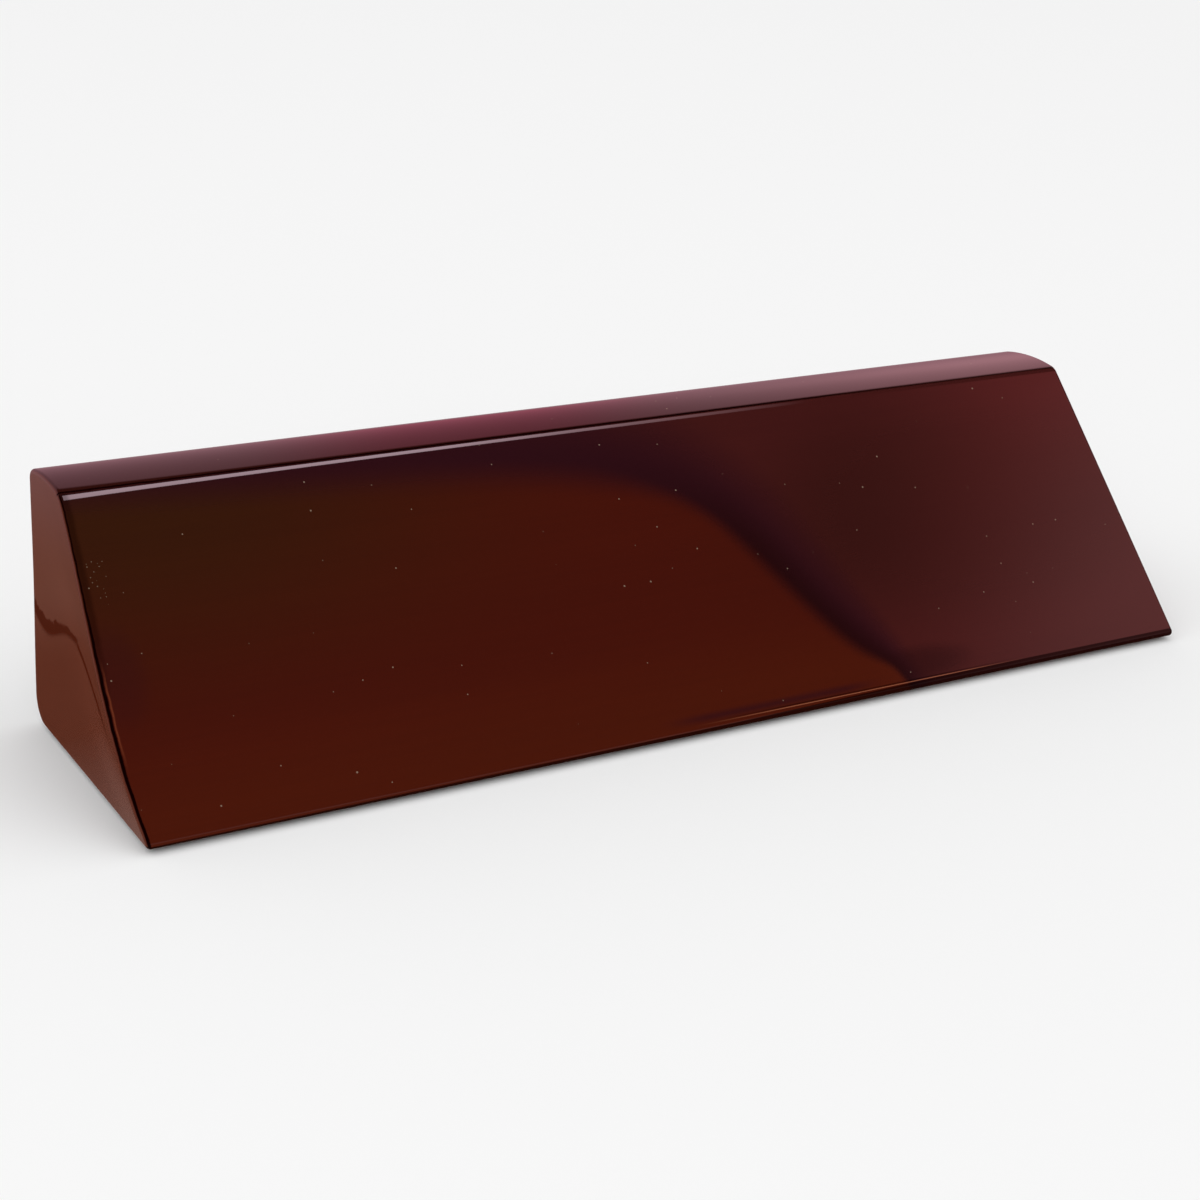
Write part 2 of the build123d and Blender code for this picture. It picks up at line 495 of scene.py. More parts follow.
def place(tree, group, **values):
    """Put a group in a material; words in the input names are joined by underscores here."""
    node = tree.nodes.new("ShaderNodeGroup")
    node.node_tree = group
    for label, value in values.items():
        plug(tree, node.inputs[label.replace("_", " ")], value)
    return node.outputs


def new_material(name):
    """A material with a Principled shader; gives the material, its tree and the shader."""
    material = bpy.data.materials.new(name)
    material.use_nodes = True
    tree = material.node_tree
    return material, tree, tree.nodes["Principled BSDF"]


def object_mm(tree):
    """Object coordinates in millimetres, and their three parts."""
    where = tree.nodes.new("ShaderNodeTexCoord").outputs["Object"]
    vector = scaled(tree, where, (1 / MM,) * 3)
    parts = tree.nodes.new("ShaderNodeSeparateXYZ")
    tree.links.new(vector, parts.inputs[0])
    return vector, parts.outputs["X"], parts.outputs["Y"], parts.outputs["Z"]


def stored(tree, name):
    """A value kept on the mesh."""
    node = tree.nodes.new("ShaderNodeAttribute")
    node.attribute_name = name
    return node.outputs["Fac"]


def relief(tree, shader, height, depth, strength):
    """Bump on a shader, from a height of about 0 to 1; depth is what 1 stands for."""
    bump = tree.nodes.new("ShaderNodeBump")
    bump.inputs["Distance"].default_value = depth
    bump.inputs["Strength"].default_value = strength
    tree.links.new(height, bump.inputs["Height"])
    tree.links.new(bump.outputs["Normal"], shader.inputs["Normal"])


def dress(obj, material):
    """Give an object this one material."""
    obj.data.materials.clear()
    obj.data.materials.append(material)

# %% [markdown]
# ## Rosewood figure, dust and fibres as shared groups
# Sliced rosewood shows three scales at once: wide slow bands of colour, thin growth lines, and
# pores like short scratches along the grain. The stain and the deep coat hide most of it, so the
# group's strength is an input: low under the polish, high on the bare veneers inside. Dust lies
# in single specks, so it comes from a cell pattern with most cells left empty. Felt and sawn
# board share one pattern of crossed fibres, finer on the felt.

# %% Group: rosewood figure
def rosewood_figure():
    """Colour and relief of sliced rosewood from coordinates whose X runs along the grain."""
    tree, entry, leave = new_group(
        "rosewood figure",
        [("Vector", "vector", None), ("Light", "colour", (0.06, 0.012, 0.005, 1)),
         ("Dark", "colour", (0.02, 0.004, 0.003, 1)), ("Strength", "value", 0.5)],
        [("Color", "colour"), ("Height", "value")])
    wander = noise(tree, scaled(tree, entry["Vector"], (0.006, 0.03, 0.03)), 1.0, 3.0)
    bands = noise(tree, scaled(tree, entry["Vector"], (0.004, 0.16, 0.16)), 1.0, 4.0, 0.6)
    lines = noise(tree, scaled(tree, entry["Vector"], (0.02, 1.6, 1.6)), 1.0, 3.0, 0.6)
    pores = noise(tree, scaled(tree, entry["Vector"], (0.25, 5.5, 5.5)), 1.0)
    pore_mask = ramp(tree, pores, 0.60, 0.74)
    slow = sums(tree, "ADD", times(tree, wander, 0.5), times(tree, bands, 0.5))
    tone = sums(tree, "ADD", times(tree, slow, 0.7), times(tree, lines, 0.3))
    dark_share = sums(tree, "MAXIMUM", ramp(tree, tone, 0.62, 0.38), pore_mask)
    amount = times(tree, dark_share, entry["Strength"])
    tree.links.new(blend(tree, amount, entry["Light"], entry["Dark"]), leave["Color"])
    tree.links.new(sums(tree, "SUBTRACT", 1.0, pore_mask), leave["Height"])
    return tree


# %% Group: dust specks
def dust_specks():
    """Mask of single specks: small round spots at random places, with most cells left empty."""
    tree, entry, leave = new_group(
        "dust specks",
        [("Vector", "vector", None), ("Cell", "value", 6.0), ("Size", "value", 0.16),
         ("Share", "value", 0.3)],
        [("Mask", "value")])
    cells = tree.nodes.new("ShaderNodeTexVoronoi")
    cells.voronoi_dimensions = "2D"
    cells.feature = "F1"
    tree.links.new(entry["Vector"], cells.inputs["Vector"])
    tree.links.new(sums(tree, "DIVIDE", 1.0, entry["Cell"]), cells.inputs["Scale"])
    parts = tree.nodes.new("ShaderNodeSeparateColor")
    tree.links.new(cells.outputs["Color"], parts.inputs[0])
    chosen = sums(tree, "LESS_THAN", parts.outputs["Red"], entry["Share"])
    reach = times(tree, entry["Size"], sums(tree, "ADD", parts.outputs["Green"], 0.4))
    distance = times(tree, cells.outputs["Distance"], entry["Cell"])
    spot_mask = sums(tree, "LESS_THAN", distance, reach)
    tree.links.new(times(tree, spot_mask, chosen), leave["Mask"])
    return tree


# %% Group: matted fibres, for felt and for the sawn board
def matted_fibres():
    """Crossed short fibres: two noises stretched in different directions, and a fine fleck."""
    tree, entry, leave = new_group(
        "matted fibres",
        [("Vector", "vector", None), ("Fineness", "value", 1.0)],
        [("Tone", "value"), ("Height", "value")])
    fine = tree.nodes.new("ShaderNodeVectorMath")
    fine.operation = "SCALE"
    tree.links.new(entry["Vector"], fine.inputs[0])
    tree.links.new(entry["Fineness"], fine.inputs["Scale"])
    one = noise(tree, scaled(tree, fine.outputs[0], (0.7, 4.0, 2.5)), 1.0, 3.0, 0.6)
    two = noise(tree, scaled(tree, fine.outputs[0], (4.0, 0.8, 2.5)), 1.0, 3.0, 0.6)
    fleck = noise(tree, fine.outputs[0], 6.0, roughness=0.6)
    crossed = sums(tree, "MAXIMUM", one, two)
    tree.links.new(ramp(tree, fleck, 0.35, 0.68), leave["Tone"])
    tree.links.new(sums(tree, "ADD", crossed, times(tree, fleck, 0.3)), leave["Height"])
    return tree


FIGURE = rosewood_figure()
DUST = dust_specks()
FIBRES = matted_fibres()
print("shared groups:", [g.name for g in bpy.data.node_groups])

# %% [markdown]
# ## The buffed rosewood finish
# Under the polish the veneer is stained a dark red-brown, olive towards the upper left, and wine
# red on the right, behind a plum streak of heartwood that also follows the top edge. The polish
# could be real glass over a second mesh, but light would have to find its way through two skins.
# A Principled shader with a coat gives the same mirror over the same wood for far less noise.
# The coat is weaker only over the dark seams and the streak, where the polish is thin.
#
# The finish measures in millimetres: x along the block, t up the slope, y and z as in the model.

# %% Colours of the veneer and of the painted edge reflections, as linear values
RED_BROWN = (0.058, 0.0068, 0.0034, 1)
OLIVE_BROWN = (0.036, 0.0095, 0.0034, 1)
ORANGE_BROWN = (0.070, 0.0098, 0.0034, 1)
WINE = (0.052, 0.0088, 0.0080, 1)
DARK_WINE = (0.036, 0.0070, 0.0058, 1)
PLUM = (0.0255, 0.0046, 0.0072, 1)
PLUM_BLACK = (0.0170, 0.0030, 0.0036, 1)
TOP_BROWN = (0.030, 0.0055, 0.0040, 1)
END_BROWN = (0.088, 0.0205, 0.0100, 1)
END_STREAK = (0.062, 0.0095, 0.0034, 1)
SEAM_BLACK = (0.004, 0.0003, 0.0003, 1)
# painted reflections of the rounded edges: lighter orange lines by the left end, a bright line at
# the foot
EDGE_REFLECTION_ORANGE = (0.125, 0.026, 0.011, 1)
FOOT_REFLECTION_COLOUR = (0.26, 0.084, 0.042, 1)
DUST_GREY = (0.30, 0.22, 0.16, 1)


# %% The brown field of the face
RUN_FROM = 105.0                        # run is 0 this far left of the middle, and 1 in the middle
FIELD_TOP = 62.0                        # t of the field's top border at the left end
FIELD_SINK, FIELD_DIVE = 7.5, 5.0       # how far that border sinks by the middle: evenly, and late
FIELD_RIGHT, FIELD_SLANT = 37.8, 0.60   # x of its right border, and its step back for each step up
SQUARE_TO_SLANT = 0.857                 # turns a distance along x into one square to that border
FOOT_REACH, FOOT_FADE = 34.0, 3.4       # how far it runs out along the foot, and over what height
CORNER_SOFT = 6.0


def brown_field(tree, x, t):
    """Distance inside the brown field, negative outside it.

    Its top border sinks by run and by run to the power of 7, where run grows evenly along the
    face. Its right border slants, and runs out along the foot of the face as an exponential. A
    soft minimum of the two distances rounds the corner.
    """
    run = sums(tree, "MAXIMUM", sums(tree, "MULTIPLY_ADD", x, 1 / RUN_FROM, 1.0), 0.0)
    dive = times(tree, sums(tree, "POWER", run, 7.0), FIELD_DIVE)
    sink = sums(tree, "MULTIPLY_ADD", run, FIELD_SINK, dive)
    under_top = sums(tree, "SUBTRACT", sums(tree, "SUBTRACT", FIELD_TOP, sink), t)
    foot = times(tree, sums(tree, "EXPONENT", times(tree, t, -1 / FOOT_FADE)), FOOT_REACH)
    border = sums(tree, "ADD", sums(tree, "MULTIPLY_ADD", t, -FIELD_SLANT, FIELD_RIGHT), foot)
    beside = times(tree, sums(tree, "SUBTRACT", border, x), SQUARE_TO_SLANT)
    return sums(tree, "SMOOTH_MIN", under_top, beside, CORNER_SOFT)


# %% Colours of the face
EDGE_SHADE = ((-106.0, 30.0), (6.0, 11.0))      # soft spots: the middle and the half sizes
DARK_WINE_SPOT = ((68.0, 36.0), (58.0, 30.0))
FOOT_FLARE = ((45.0, 5.6), (15.0, 4.4))
LOW_SHADE_UP = (3.1, 4.2, 0.8)                  # low and high limit, and softness
LOW_SHADE_ALONG = (-9.0, 31.0, 6.0)


def spot(tree, x, t, at, size):
    """A soft round spot: 1 at its middle, 0 at its rim, an ellipse with the given half sizes."""
    along = sums(tree, "DIVIDE", sums(tree, "SUBTRACT", x, at[0]), size[0])
    up = sums(tree, "DIVIDE", sums(tree, "SUBTRACT", t, at[1]), size[1])
    square = sums(tree, "ADD", times(tree, along, along), times(tree, up, up))
    return ramp(tree, square, 1.0, 0.0)


def brown_stain(tree, x, t):
    """Red-brown, olive towards the upper left, more orange at the foot, shaded at the left end."""
    olive = times(tree, ramp(tree, x, 0.0, -95.0), ramp(tree, t, 12.0, 58.0))
    brown = blend(tree, olive, RED_BROWN, OLIVE_BROWN)
    brown = blend(tree, times(tree, ramp(tree, t, 24.0, 2.0), 0.75), brown, ORANGE_BROWN)
    return blend(tree, times(tree, spot(tree, x, t, *EDGE_SHADE), 0.25), brown, PLUM)


def face_colour(tree, x, t):
    """Stained veneer of the slope: brown field, plum border, wine red beyond.

    The distance outside the field is counted shorter high up, so the plum border is wider there.
    The step between brown and plum is firmer at the right than at the left.
    """
    inside = brown_field(tree, x, t)
    outwards = sums(tree, "MULTIPLY_ADD", ramp(tree, t, 18.0, 50.0), 0.30, -1.0)
    outside = times(tree, inside, outwards)
    wine = blend(tree, spot(tree, x, t, *DARK_WINE_SPOT), WINE, DARK_WINE)
    colour = blend(tree, ramp(tree, outside, 18.0, 2.5), wine, PLUM)
    core = times(tree, ramp(tree, outside, 8.0, 1.0), ramp(tree, t, 62.0, 30.0))
    colour = blend(tree, core, colour, PLUM_BLACK)
    colour = blend(tree, times(tree, spot(tree, x, t, *FOOT_FLARE), 0.6), colour, PLUM_BLACK)
    firm = sums(tree, "MULTIPLY_ADD", ramp(tree, x, -10.0, 18.0), 0.45, 0.55)
    on_brown = ramp(tree, times(tree, inside, firm), -2.2, 2.6)
    colour = blend(tree, on_brown, colour, brown_stain(tree, x, t))
    low_shade = times(tree, between(tree, t, *LOW_SHADE_UP), between(tree, x, *LOW_SHADE_ALONG))
    return blend(tree, times(tree, low_shade, 0.75), colour, PLUM)


# %% The ragged streak on the left end
STREAK_LEVEL = 24.5                     # z of the band's middle, away from the dip
DIP_AT, DIP_WIDE, DIP_DEEP = 22.0, 9.0, 3.9
RAGGED = 4.5                            # how far the noise moves the band's top
TAIL_FROM, TAIL_LEVEL = 3.0, 24.2       # y and z where the tail leaves the band


def end_streak(tree, vector, x, y, z):
    """Mask of a growth streak: a ragged band that dips near the back, and a thin tail in front.

    The band's middle dips as a bell curve of y. Its top is ragged and firm, its foot is soft.
    The tail is a thin line whose fall grows a little faster than the distance in front.
    """
    grain = noise(tree, scaled(tree, vector, (0.3, 0.40, 0.08)), 1.0, 6.0, 0.85)
    ragged = times(tree, sums(tree, "SUBTRACT", grain, 0.5), RAGGED)
    off_dip = sums(tree, "MULTIPLY_ADD", y, 1 / DIP_WIDE, -DIP_AT / DIP_WIDE)
    dip = sums(tree, "EXPONENT", times(tree, off_dip, off_dip, -1.0))
    level = sums(tree, "SUBTRACT", z, sums(tree, "MULTIPLY_ADD", dip, -DIP_DEEP, STREAK_LEVEL))
    half = sums(tree, "MULTIPLY_ADD", ramp(tree, y, 2.0, 22.0), 0.7, 0.7)
    below_top = sums(tree, "SUBTRACT", half, sums(tree, "ADD", level, ragged))
    above_foot = sums(tree, "ADD", level, half)
    band = times(tree, ramp(tree, below_top, -0.05, 0.15), ramp(tree, above_foot, -0.6, 0.7),
                 ramp(tree, y, 1.0, 3.0))
    ahead = sums(tree, "SUBTRACT", TAIL_FROM, y)
    fall = times(tree, sums(tree, "MULTIPLY_ADD", ahead, 0.018, 0.28), ahead)
    tail_level = sums(tree, "SUBTRACT", TAIL_LEVEL, fall)
    off_tail = sums(tree, "ABSOLUTE", sums(tree, "SUBTRACT", tail_level, z))
    tail = times(tree, ramp(tree, off_tail, 0.85, 0.35), ramp(tree, y, 4.0, 2.0),
                 ramp(tree, z, 11.0, 19.0))
    on_end = sums(tree, "LESS_THAN", x, -HALF_LENGTH / MM + 2.0)
    return times(tree, sums(tree, "MAXIMUM", band, tail), on_end)


# %% Seams and painted edge reflections, as distances from the crests of the edges
TOP_SEAM = (-0.50, -0.08, 0.12)         # each: low and high limit, and softness
END_SEAM, END_BORDER = (0.0, 0.70, 0.12), (0.0, 1.4, 0.45)
# painted reflections: a lighter line beside the left end's seam, and one on the end's rim
END_REFLECTION_LINE, END_REFLECTION_HEIGHT = (0.16, 0.42, 0.10), (13.0, 23.0, 2.5)
END_RIM_REFLECTION = (-0.36, -0.20, 0.08)
FOOT_STRIP = (-2.2, 0.0, 0.10)
# painted reflection at the foot: a bright band on the rounded lower edge, a dark seam beside it
FOOT_REFLECTION_BAND, FOOT_SEAM = (1.36, 1.50, 0.05), (1.62, 1.84, 0.08)
FOOT_ALONG = (4.0, 60.0, 12.0)          # the stretch of x with the painted reflection at the foot and its seam


def edge_lines(tree, vector, x, z, gaps, on_slope):
    """Masks of the dark seams, of the painted edge reflections at the left end and of the painted
    reflection at the foot.

    A seam is where two veneers meet, or where the stain gathered. The lighter orange lines by the
    left end and the bright line at the foot are painted reflections of the rounded edges. Slow
    noise makes the seams at the top and at the end waver.
    """
    gap_end, gap_top, gap_bottom = gaps
    off_cap = ramp(tree, gap_end, -0.45, -0.25)
    left_slope = times(tree, sums(tree, "LESS_THAN", x, 0.0), on_slope)
    waver = times(tree, sums(tree, "SUBTRACT", noise(tree, vector, 0.35), 0.5), 0.4)
    top_gap, end_gap = (sums(tree, "ADD", gap, waver) for gap in (gap_top, gap_end))

    top_fade = sums(tree, "MULTIPLY_ADD", ramp(tree, x, 20.0, 90.0), -0.55, 1.0)
    top_seam = times(tree, between(tree, top_gap, *TOP_SEAM), top_fade)
    seam_width = sums(tree, "MULTIPLY_ADD", ramp(tree, z, 36.0, 22.0), 0.22, 0.30)
    past_seam = sums(tree, "SUBTRACT", end_gap, seam_width)
    end_seam = times(tree, between(tree, end_gap, *END_SEAM), ramp(tree, past_seam, 0.12, -0.08))
    border = times(tree, between(tree, end_gap, *END_BORDER), ramp(tree, z, 18.0, 30.0), 0.45)
    ends = times(tree, sums(tree, "MAXIMUM", end_seam, border), left_slope)

    width = sums(tree, "MULTIPLY_ADD", ramp(tree, x, -95.0, -10.0, smooth=False), 0.40, 0.15)
    width = sums(tree, "MULTIPLY_ADD", ramp(tree, x, -15.0, 65.0), 0.85, width)
    off_strip = sums(tree, "SUBTRACT", gap_bottom, width)
    foot_strip = times(tree, between(tree, off_strip, *FOOT_STRIP), 0.82)
    seam = sums(tree, "MAXIMUM", sums(tree, "MAXIMUM", top_seam, foot_strip), ends)
    seam = times(tree, seam, off_cap)

    # painted reflections on the rounded left front edge: lighter lines beside the seam and on the
    # rim
    end_reflection = times(tree, between(tree, past_seam, *END_REFLECTION_LINE), between(tree, z, *END_REFLECTION_HEIGHT))
    rim = times(tree, between(tree, end_gap, *END_RIM_REFLECTION), 0.22)
    edge_reflection = times(tree, sums(tree, "MAXIMUM", end_reflection, rim), left_slope)
    along_foot = between(tree, x, *FOOT_ALONG)
    # painted reflection: the bright line on the rounded lower front edge, with a dark seam beside
    # it
    foot_reflection = times(tree, between(tree, gap_bottom, *FOOT_REFLECTION_BAND), along_foot)
    foot_seam = times(tree, between(tree, gap_bottom, *FOOT_SEAM), along_foot, 0.6)
    return sums(tree, "MAXIMUM", seam, foot_seam), edge_reflection, foot_reflection


# %% Dust under the polish
SPARSE_DUST = {"Cell": 6.0, "Size": 0.13, "Share": 0.22}
CLOSE_DUST = {"Cell": 0.9, "Size": 0.065, "Share": 0.32}
DUST_PATCH = ((-104.7, 47.0), (2.3, 5.0))       # where the close specks lie


def dust_mask(tree, x, t, gap_end, gap_bottom):
    """Specks all over, closer together in one patch, and none at the end edges."""
    flat = tree.nodes.new("ShaderNodeCombineXYZ")
    tree.links.new(x, flat.inputs[0])
    tree.links.new(gap_bottom, flat.inputs[1])
    sparse = place(tree, DUST, Vector=flat.outputs[0], **SPARSE_DUST)
    close = place(tree, DUST, Vector=flat.outputs[0], **CLOSE_DUST)
    patch = ramp(tree, spot(tree, x, t, *DUST_PATCH), 0.05, 0.10)
    dust = sums(tree, "MAXIMUM", sparse["Mask"], times(tree, close["Mask"], patch))
    return times(tree, dust, ramp(tree, gap_end, 0.6, 0.9))


# %% The finish itself
COAT_LOSS = 0.85                        # share of the coat's weight lost over seams and streak


def polished_rosewood():
    """Stained veneer seen through a mirror coat, with its seams, rubbed edges and dust."""
    material, tree, shader = new_material("polished_rosewood")
    vector, x, y, z = object_mm(tree)
    gaps = [stored(tree, name) for name in ("gap_end", "gap_top", "gap_bottom")]
    gap_end, gap_top, gap_bottom = gaps
    up_slope = times(tree, sums(tree, "SUBTRACT", z, BASE_Z / MM), 1 / math.sin(SLOPE))
    on_slope = times(tree, ramp(tree, gap_top, -0.2, 0.2), ramp(tree, gap_bottom, -0.6, 0.0))
    on_cap = ramp(tree, gap_end, 0.15, -0.15)

    base = blend(tree, on_slope, TOP_BROWN, face_colour(tree, x, up_slope))
    base = blend(tree, on_cap, base, END_BROWN)
    streak = times(tree, end_streak(tree, vector, x, y, z), on_cap)
    base = blend(tree, streak, base, END_STREAK)
    strength = sums(tree, "MULTIPLY_ADD", on_cap, -0.12, 0.16)
    figure = place(tree, FIGURE, Vector=vector, Light=base,
                   Dark=blend(tree, 0.6, base, PLUM_BLACK), Strength=strength)
    seam, edge_reflection, foot_reflection = edge_lines(tree, vector, x, z, gaps, on_slope)
    dust = dust_mask(tree, x, up_slope, gap_end, gap_bottom)
    # painted reflections: lighter orange lines at the left end, then the bright line at the foot
    colour = blend(tree, edge_reflection, figure["Color"], EDGE_REFLECTION_ORANGE)
    # painted reflection: the bright line at the foot
    colour = blend(tree, foot_reflection, colour, FOOT_REFLECTION_COLOUR)
    colour = blend(tree, seam, colour, SEAM_BLACK)
    colour = blend(tree, times(tree, dust, 0.6), colour, DUST_GREY)

    tree.links.new(colour, shader.inputs["Base Color"])
    shader.inputs["Roughness"].default_value = 0.5
    shader.inputs["Specular IOR Level"].default_value = 0.0
    coat_loss = times(tree, sums(tree, "MAXIMUM", streak, seam), COAT_LOSS)
    tree.links.new(sums(tree, "SUBTRACT", 1.0, coat_loss), shader.inputs["Coat Weight"])
    shader.inputs["Coat Roughness"].default_value = 0.03
    shader.inputs["Coat IOR"].default_value = 1.52
    return material


# %% Dress the body
dress(skin, polished_rosewood())
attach(skin, "root")
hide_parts("gloss_coat")

# %% [markdown]
# ## Felt
# Pressed wool is mat, very dark and slightly fuzzy. Sheen in the shader gives the pale halo that
# short fibres make at a glancing angle, and the fibre group gives the fleck and the relief.

# %% Felt finish
def black_felt():
    """Dark wool with a fibre fleck, fibre relief and a little sheen."""
    material, tree, shader = new_material("pressed_felt")
    vector, *_ = object_mm(tree)
    fibres = place(tree, FIBRES, Vector=vector, Fineness=1.6)
    tree.links.new(blend(tree, fibres["Tone"], (0.008, 0.008, 0.009, 1), (0.026, 0.025, 0.026, 1)),
                   shader.inputs["Base Color"])
    relief(tree, shader, fibres["Height"], 0.25 * MM, 0.8)
    shader.inputs["Roughness"].default_value = 0.95
    shader.inputs["Sheen Weight"].default_value = 0.35
    shader.inputs["Sheen Roughness"].default_value = 0.5
    return material


dress(felt, black_felt())
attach(felt, "root")
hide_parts("felt_pad")

# %% [markdown]
# ## The pieces inside
# Boards and veneers keep their solid-model shape. They show only when the block is taken apart,
# so each gets the finish it has on the bench: sawn fibreboard, or veneer sanded but not coated.

# %% Fibreboard, one material per board so that each has its own tone
def fibreboard(name, tone):
    """Sawn medium-density fibreboard; tone shifts it lighter or darker."""
    material, tree, shader = new_material(name)
    vector, *_ = object_mm(tree)
    fibres = place(tree, FIBRES, Vector=vector, Fineness=0.9)
    light = (0.46 * tone, 0.31 * tone, 0.17 * tone, 1)
    dark = (0.30 * tone, 0.185 * tone, 0.09 * tone, 1)
    tree.links.new(blend(tree, fibres["Tone"], dark, light), shader.inputs["Base Color"])
    relief(tree, shader, fibres["Height"], 0.12 * MM, 0.6)
    shader.inputs["Roughness"].default_value = 0.82
    return material


BOARD_TONES = {"core_board_front": 1.0, "core_board_middle": 0.9, "core_board_back": 1.06}
for node, tone in BOARD_TONES.items():
    dress(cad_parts[node], fibreboard("fibreboard_" + node.split("_")[-1], tone))
print("boards dressed:", list(BOARD_TONES))


# %% Bare veneer, with the grain turned to suit each sheet
def bare_veneer(name, light, dark, turn):
    """Sanded veneer before the coat; turn is the grain's rotation about X, Y and Z."""
    material, tree, shader = new_material(name)
    where = tree.nodes.new("ShaderNodeTexCoord").outputs["Object"]
    mapping = tree.nodes.new("ShaderNodeMapping")
    mapping.inputs["Rotation"].default_value = turn
    mapping.inputs["Scale"].default_value = (1 / MM,) * 3
    tree.links.new(where, mapping.inputs["Vector"])
    figure = place(tree, FIGURE, Vector=mapping.outputs[0], Light=light, Dark=dark, Strength=0.85)
    tree.links.new(figure["Color"], shader.inputs["Base Color"])
    relief(tree, shader, figure["Height"], 0.04 * MM, 0.7)
    shader.inputs["Roughness"].default_value = 0.55
    return material


STAINED = ((0.085, 0.018, 0.010, 1), (0.022, 0.005, 0.004, 1))
PLAIN = ((0.20, 0.085, 0.040, 1), (0.11, 0.045, 0.022, 1))
ALONG, UPRIGHT = (0.0, 0.0, 0.0), (0.0, math.pi / 2, 0.0)
SHEETS = {
    "front_veneer": (STAINED, ALONG),
    "top_veneer": (STAINED, ALONG),
    "back_veneer": (STAINED, ALONG),
    "left_end_veneer": (STAINED, UPRIGHT),
    "right_end_veneer": (STAINED, UPRIGHT),
    "base_veneer": (PLAIN, ALONG),
}
for node, ((light, dark), turn) in SHEETS.items():
    dress(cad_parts[node], bare_veneer("bare_" + node, light, dark, turn))
print("veneers dressed:", list(SHEETS))

# %% [markdown]
# ## Studio
# A mirror finish is lit by what it reflects, so the room matters more than the lamps. Even light
# from all round gives the wood its colour. What the polish sees is set apart from that: a dark
# room, a pink-grey glow behind the block, a soft box overhead and a faint card at the right.

# %% Floor
# what the polish sees of the floor, a painted reflection: darker near the block as painted shadow
TOUCHING_FLOOR, NEAR_FLOOR_SHADOW = (0.36, 0.22, 0.19, 1), (0.17, 0.050, 0.031, 1)
MID_FLOOR, FAR_FLOOR = (0.27, 0.115, 0.085, 1), (0.52, 0.30, 0.34, 1)
FLOOR_SIZE = 8.0


def beyond(tree, value, half):
    """How far a coordinate is past the block, on either side; 0 within it."""
    past = sums(tree, "SUBTRACT", sums(tree, "ABSOLUTE", value), half)
    return sums(tree, "MAXIMUM", past, 0.0)


def pale_sheet():
    """A mat pale sheet; to the polish it glows faintly, darker and redder close to the block.

    The glow is a painted reflection of the floor, and its darkness near the block is painted
    shadow.
    """
    material, tree, shader = new_material("pale_sheet")
    shader.inputs["Base Color"].default_value = (0.93, 0.93, 0.93, 1)
    shader.inputs["Roughness"].default_value = 0.9
    shader.inputs["Specular IOR Level"].default_value = 0.0
    _, x, y, _ = object_mm(tree)
    beyond_x, beyond_y = beyond(tree, x, HALF_LENGTH / MM), beyond(tree, y, BACK_Y / MM)
    square = sums(tree, "ADD", times(tree, beyond_x, beyond_x), times(tree, beyond_y, beyond_y))
    away = sums(tree, "SQRT", square)
    by_an_end = times(tree, ramp(tree, away, 13.0, 0.0), ramp(tree, beyond_x, 0.0, 0.5),
                      ramp(tree, y, 20.0, -28.0, smooth=False))
    # painted shadow: the glow is darkest near the block, where the block's shade would fall
    tone = blend(tree, by_an_end, NEAR_FLOOR_SHADOW, TOUCHING_FLOOR)
    tone = blend(tree, ramp(tree, away, 25.0, 70.0), tone, MID_FLOOR)
    tone = blend(tree, ramp(tree, away, 70.0, 240.0), tone, FAR_FLOOR)
    # painted reflection: the sheet glows only to glossy rays
    glow = tree.nodes.new("ShaderNodeEmission")
    tree.links.new(tone, glow.inputs["Color"])
    path = tree.nodes.new("ShaderNodeLightPath")
    mix = tree.nodes.new("ShaderNodeMixShader")
    tree.links.new(path.outputs["Is Glossy Ray"], mix.inputs["Fac"])
    tree.links.new(shader.outputs[0], mix.inputs[1])
    tree.links.new(glow.outputs[0], mix.inputs[2])
    tree.links.new(mix.outputs[0], tree.nodes["Material Output"].inputs["Surface"])
    return material


bpy.ops.mesh.primitive_plane_add(size=FLOOR_SIZE, location=(0, 0, 0))
floor = bpy.context.object
floor.name = "studio_floor"
floor.data.materials.append(pale_sheet())


# %% What the polish sees of the room, as linear colours
GLOW, GLOW_MIDDLE = (0.51, 0.25, 0.30, 1), (0.56, 0.15, 0.22, 1)
GLOW_BRIGHT = (1.15, 0.57, 0.66, 1)
BOX_NEAR, BOX_FAR = (6.2, 4.6, 5.2, 1), (5.2, 3.1, 3.4, 1)
CARD_LOW, CARD_HIGH = (0.80, 0.34, 0.34, 1), (0.90, 0.15, 0.16, 1)
HORIZON = (0.42, 0.28, 0.29, 1)


# %% Its sources; x, y and z are the parts of the direction looked in, each from -1 to 1
def behind_glow(tree, x, y, z):
    """Pink-grey glow low behind the block, redder in its middle, strongest high at the right."""
    middle = times(tree, ramp(tree, x, 0.34, 0.42), ramp(tree, x, 0.54, 0.46))
    colour = blend(tree, middle, GLOW, GLOW_MIDDLE)
    high_right = times(tree, ramp(tree, x, 0.48, 0.66), ramp(tree, z, -0.02, 0.30))
    colour = blend(tree, high_right, colour, GLOW_BRIGHT)
    return colour, times(tree, ramp(tree, z, 0.74, 0.56), ramp(tree, y, 0.20, 0.45))


def overhead_box(tree, x, y, z):
    """A soft box overhead to the right, redder and a little dimmer towards its far end."""
    colour = blend(tree, ramp(tree, x, 0.40, 0.56), BOX_NEAR, BOX_FAR)
    along = times(tree, ramp(tree, x, 0.18, 0.29), ramp(tree, x, 0.57, 0.43, smooth=False))
    across = times(tree, between(tree, y, -0.235, 0.13, 0.025), ramp(tree, z, 0.50, 0.60))
    return colour, times(tree, along, across)


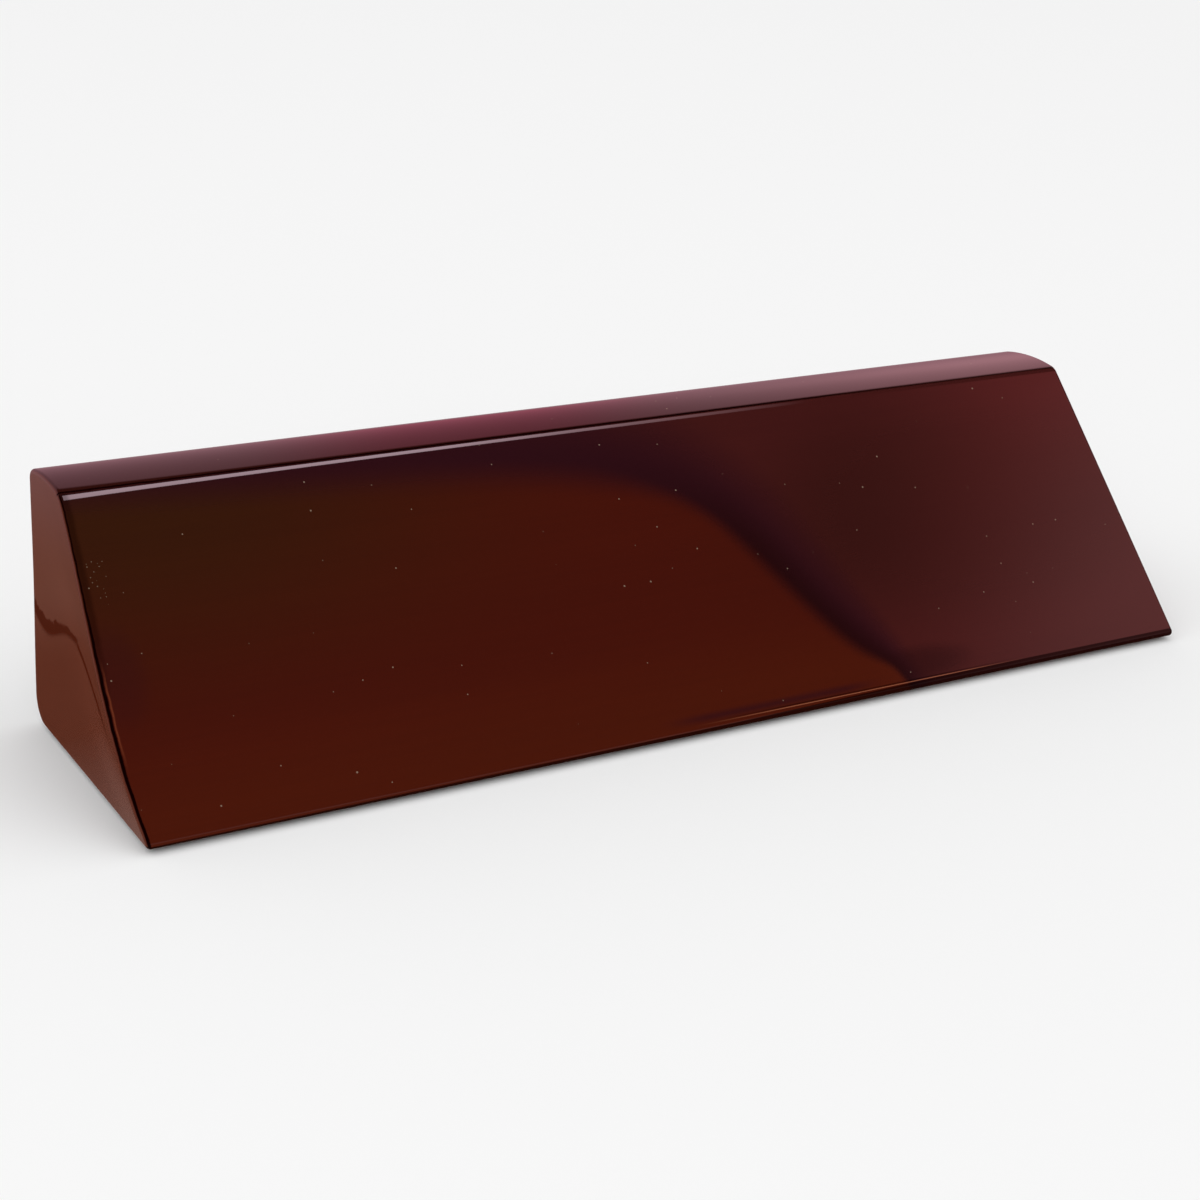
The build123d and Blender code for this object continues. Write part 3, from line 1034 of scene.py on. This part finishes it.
def right_card(tree, x, y, z):
    """A faint card at the right, in front: redder above and paler below."""
    colour = blend(tree, ramp(tree, z, 0.64, 0.72), CARD_LOW, CARD_HIGH)
    return colour, times(tree, ramp(tree, x, 0.57, 0.68), ramp(tree, y, -0.15, -0.28),
                         ramp(tree, z, 0.85, 0.74))


def horizon(tree, x, y, z):
    """A weak glow low down on the other sides, so that no side of the block mirrors pitch black."""
    return HORIZON, times(tree, ramp(tree, z, 0.45, 0.15), ramp(tree, y, 0.30, 0.05))


# %% World
def room():
    """World colours: white to the camera, even to mat surfaces, and a dim room to the mirror."""
    world = bpy.data.worlds.new("dim_room")
    bpy.context.scene.world = world
    world.use_nodes = True
    tree = world.node_tree
    parts = tree.nodes.new("ShaderNodeSeparateXYZ")
    tree.links.new(tree.nodes.new("ShaderNodeTexCoord").outputs["Generated"], parts.inputs[0])
    mirror = (0.0, 0.0, 0.0, 1)
    for source in (behind_glow, overhead_box, right_card, horizon):
        colour, mask = source(tree, *parts.outputs)
        mirror = blend(tree, mask, mirror, blend(tree, 1.0, mirror, colour, "ADD"))
    path = tree.nodes.new("ShaderNodeLightPath")
    lit = blend(tree, path.outputs["Is Glossy Ray"], (0.95, 0.95, 0.95, 1), mirror)
    seen = blend(tree, path.outputs["Is Camera Ray"], lit, (0.96, 0.96, 0.96, 1))
    tree.links.new(seen, tree.nodes["Background"].inputs["Color"])


room()


# %% One large soft lamp at the front left, kept out of the mirror
def soft_box(name, at, aim, size, watts):
    """A square area light at one point, turned to another; the polish does not reflect it."""
    data = bpy.data.lights.new(name, "AREA")
    data.size = size
    data.energy = watts
    lamp = bpy.data.objects.new(name, data)
    lamp.location = at
    facing = mathutils.Vector(aim) - mathutils.Vector(at)
    lamp.rotation_euler = facing.to_track_quat("-Z", "Y").to_euler()
    lamp.visible_glossy = False
    bpy.context.scene.collection.objects.link(lamp)


soft_box("front_left_key", at=(-1.3, -1.6, 1.1), aim=(0, 0, 0.02), size=1.2, watts=7.0)

# %% [markdown]
# ## Camera
# A small object close to a short telephoto lens: its near end looms a little. The lens is tipped
# down and rolled a degree or two, with a slight vertical shift as on a studio view camera.

# %% Camera
CAMERA_AT = (-0.2109, -0.3341, 0.1618)
AZIMUTH, ELEVATION, ROLL = -30.88, 17.79, -2.07
LENS, SENSOR, SHIFT_UP = 67.1, 36.0, -0.0833


def place_camera():
    """Camera from its azimuth, elevation and roll in degrees; azimuth 0 looks along +Y."""
    a, e = math.radians(AZIMUTH), math.radians(ELEVATION)
    back = mathutils.Vector((math.sin(a) * math.cos(e), -math.cos(a) * math.cos(e), math.sin(e)))
    data = bpy.data.cameras.new("camera")
    data.sensor_width, data.lens, data.shift_y = SENSOR, LENS, SHIFT_UP
    data.clip_start, data.clip_end = 0.01, 50.0
    camera = bpy.data.objects.new("camera", data)
    turn = (-back).to_track_quat("-Z", "Y") @ mathutils.Quaternion((0, 0, 1), math.radians(-ROLL))
    camera.rotation_mode = "QUATERNION"
    camera.rotation_quaternion = turn
    camera.location = CAMERA_AT
    bpy.context.scene.collection.objects.link(camera)
    bpy.context.scene.camera = camera


place_camera()
bpy.context.scene.view_settings.view_transform = "Standard"
